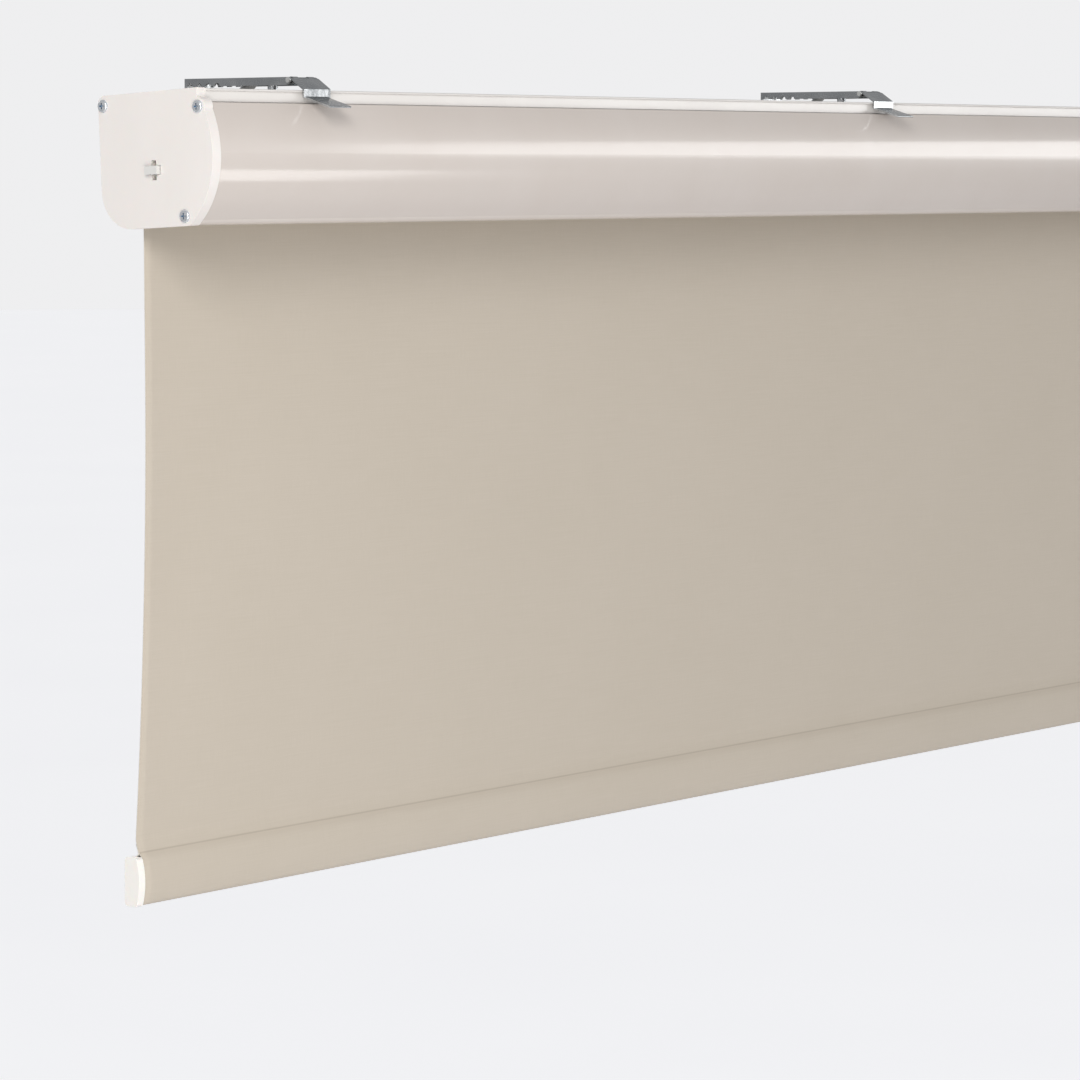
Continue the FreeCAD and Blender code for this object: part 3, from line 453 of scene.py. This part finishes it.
def blind_cloth():
    """The hanging cloth and the pocket that its hem makes round the bottom bar, in one piece."""
    drop_low, drop_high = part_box("fabric_drop")
    rail_low, rail_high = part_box("hem_pocket")
    half_width = drop_high.x
    top = (drop_low.y + CAD_FABRIC / 2, ROLLER_AXIS[2])
    bend = (drop_high.y - CAD_FABRIC / 2, rail_high.z + BEND_ABOVE)
    straight = (top[0], top[1] - STRAIGHT_SHARE * (top[1] - bend[1]))
    drop = resampled([top] + arc_points(straight, bend, bend[0] - straight[0], 60), ROW_STEP)
    inside = FABRIC / 2
    front, back = rail_low.y + inside, rail_high.y - inside
    roof, foot = rail_high.z - inside, rail_low.z + inside
    front_arc = [(front + RAIL_BOW * (2 * step / 16 - 1) ** 2, roof + (foot - roof) * step / 16)
                 for step in range(17)]
    weld = (front + WELD_BEHIND_FRONT, rail_high.z + WELD_ABOVE)
    slope = math.dist(bend, weld)
    behind = (weld[0] + 1.2 * FABRIC, weld[1])
    flap_end = (behind[0] + (bend[0] - weld[0]) * FLAP / slope, behind[1] + (bend[1] - weld[1]) * FLAP / slope)
    corners = [*drop[-3:], weld, *front_arc, (back, foot), (back, roof), (weld[0] + 1.5 * MM, roof), behind]
    pocket = softened(resampled(corners, POCKET_STEP), SOFT_CORNER)
    path = drop[:-3] + pocket[::3] + resampled([behind, flap_end], 1 * MM)[1:]
    drop_length = top[1] - bend[1]
    face = woven("blackout_cloth_seam", seam=drop_length + slope, **CLOTH_LOOK)

    def wave(x, along, half):
        """Slow hollows of the hanging cloth and a slight curl of its cut edges."""
        if along > drop_length:
            return 0
        hang = math.sin(math.pi * along / drop_length)
        slow = noise.noise(Vector((x * 3.1, along * 2.2, 4.7))) * SLOW_WAVE
        quick = noise.noise(Vector((x * 11, along * 5, 9.2))) * QUICK_WAVE
        curl = EDGE_CURL * math.exp(-(half - abs(x)) / CURL_REACH)
        return hang * (slow + quick + curl)

    piece, length = cloth_strip("blind_cloth", path, half_width, 200, face, wave)
    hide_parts("fabric_drop", "hem_pocket")
    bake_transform(piece)


def wound_cloth():
    """The cloth still on the roller: one spiral from the drop's tangent point down to the tube."""
    roll_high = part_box("fabric_roll")[1]
    centre_y, centre_z = ROLLER_AXIS[1:]
    outer = roll_high.y - centre_y
    turns = (outer - TUBE_AND_TAPE) / CAD_FABRIC - 0.5
    steps = 40
    path = []
    for step in range(int(turns * steps) + 1):
        angle = 2 * math.pi * step / steps
        radius = outer - FABRIC / 2 - CAD_FABRIC * step / steps
        path.append((centre_y + radius * math.cos(angle), centre_z + radius * math.sin(angle)))
    piece, length = cloth_strip("wound_cloth", path, roll_high.x, 8, CLOTH_FACE)
    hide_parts("fabric_roll")
    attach(piece, "roller")


# ---------------------------------------------------------------- stage, light and camera

BELOW_RAIL = 0.3                # floor under the lowest place of the bottom rail


def pale_floor():
    """Pale to the camera, and dimmer in reflections, as a floor outside the lit place is."""
    skin = Finish("floor_pale", specular=0.2)
    skin.colour(skin.blended(skin.grain(0.6, 3), "E4E4E6", "E0E0E3"))
    skin.rough(skin.between(skin.grain(3, 3), 0.75, 0.85))
    skin.shader.inputs["Emission Color"].default_value = (0.98, 0.985, 1, 1)
    seen = skin.node("LightPath").outputs["Is Camera Ray"]
    skin.tree.links.new(skin.maths("MULTIPLY", seen, 0.555), skin.shader.inputs["Emission Strength"])
    return skin.material


def floor():
    """Large pale floor below the lowest place that the bottom rail can reach."""
    travel = next(joint for joint in frame["joints"] if joint["name"] == "rail_slide")["range_m"][0]
    height = cad_box[0][2] + travel - BELOW_RAIL
    bpy.ops.mesh.primitive_circle_add(vertices=96, radius=60, fill_type="NGON", location=(0, 0, height))
    piece = bpy.context.object
    piece.name = "floor"
    piece.data.materials.append(pale_floor())


def softbox(name, place, aim, size, power, colour=(1, 1, 1)):
    """Rectangular area light of that size in metres and power in watts, unseen by the camera."""
    light = bpy.data.lights.new(name, "AREA")
    light.shape = "RECTANGLE"
    light.size, light.size_y = size
    light.energy = power
    light.color = colour
    lamp = bpy.data.objects.new(name, light)
    lamp.location = place
    lamp.rotation_euler = (Vector(aim) - Vector(place)).to_track_quat("-Z", "Y").to_euler()
    lamp.visible_camera = False
    bpy.context.collection.objects.link(lamp)


WARM_WHITE = (1, 0.985, 0.965)


def lights():
    """Even studio light: a key from the left, one behind, two at the right that draw bands on the cassette."""
    bpy.context.scene.view_settings.view_transform = "Standard"
    world = bpy.data.worlds.new("studio")
    world.use_nodes = True
    tree = world.node_tree
    room = tree.nodes["Background"]
    room.inputs["Color"].default_value = (0.98, 0.985, 1.0, 1)
    room.inputs["Strength"].default_value = 0.425
    backdrop = tree.nodes.new("ShaderNodeBackground")
    backdrop.inputs["Color"].default_value = (0.99, 0.99, 1.0, 1)
    backdrop.inputs["Strength"].default_value = 0.87
    mix = tree.nodes.new("ShaderNodeMixShader")
    seen = tree.nodes.new("ShaderNodeLightPath")
    tree.links.new(seen.outputs["Is Camera Ray"], mix.inputs["Fac"])
    tree.links.new(room.outputs["Background"], mix.inputs[1])
    tree.links.new(backdrop.outputs["Background"], mix.inputs[2])
    tree.links.new(mix.outputs["Shader"], tree.nodes["World Output"].inputs["Surface"])
    bpy.context.scene.world = world
    softbox("key", (-2.26, -1.32, 0.87), (-0.5, -0.05, -0.2), (0.9, 0.9), 22, WARM_WHITE)
    softbox("fill", (-2.3, -2.0, -1.0), (-0.4, -0.05, -0.2), (1.6, 1.2), 32, WARM_WHITE)
    softbox("band_high", (3.95, -2.71, 0.45), (0.1, -0.1, 0), (2.2, 1.3), 37)
    softbox("behind", (1.2, 3.6, 1.7), (0, 0, -0.1), (3.0, 2.0), 60)
    softbox("band_low", (2.43, -3.05, -1.3), (-0.65, -0.1, -0.05), (0.7, 0.8), 8)


def camera():
    """Far to the left, at the height of the cassette, looking along the blind and slightly down."""
    lens = bpy.data.cameras.new("camera")
    lens.lens = 133.33
    lens.sensor_width = 36
    lens.shift_y = -0.12
    lens.clip_end = 300
    eye = bpy.data.objects.new("camera", lens)
    eye.location = (-2.46415, -1.84304, -0.02779)
    yaw, pitch = math.radians(49.92), math.radians(3.47)
    look = Vector((math.sin(yaw) * math.cos(pitch), math.cos(yaw) * math.cos(pitch), -math.sin(pitch)))
    eye.rotation_euler = look.to_track_quat("-Z", "Y").to_euler()
    bpy.context.collection.objects.link(eye)
    bpy.context.scene.camera = eye


finish_cad_nodes()
round_cad_edges()
blind_cloth()
wound_cloth()
floor()
lights()
camera()
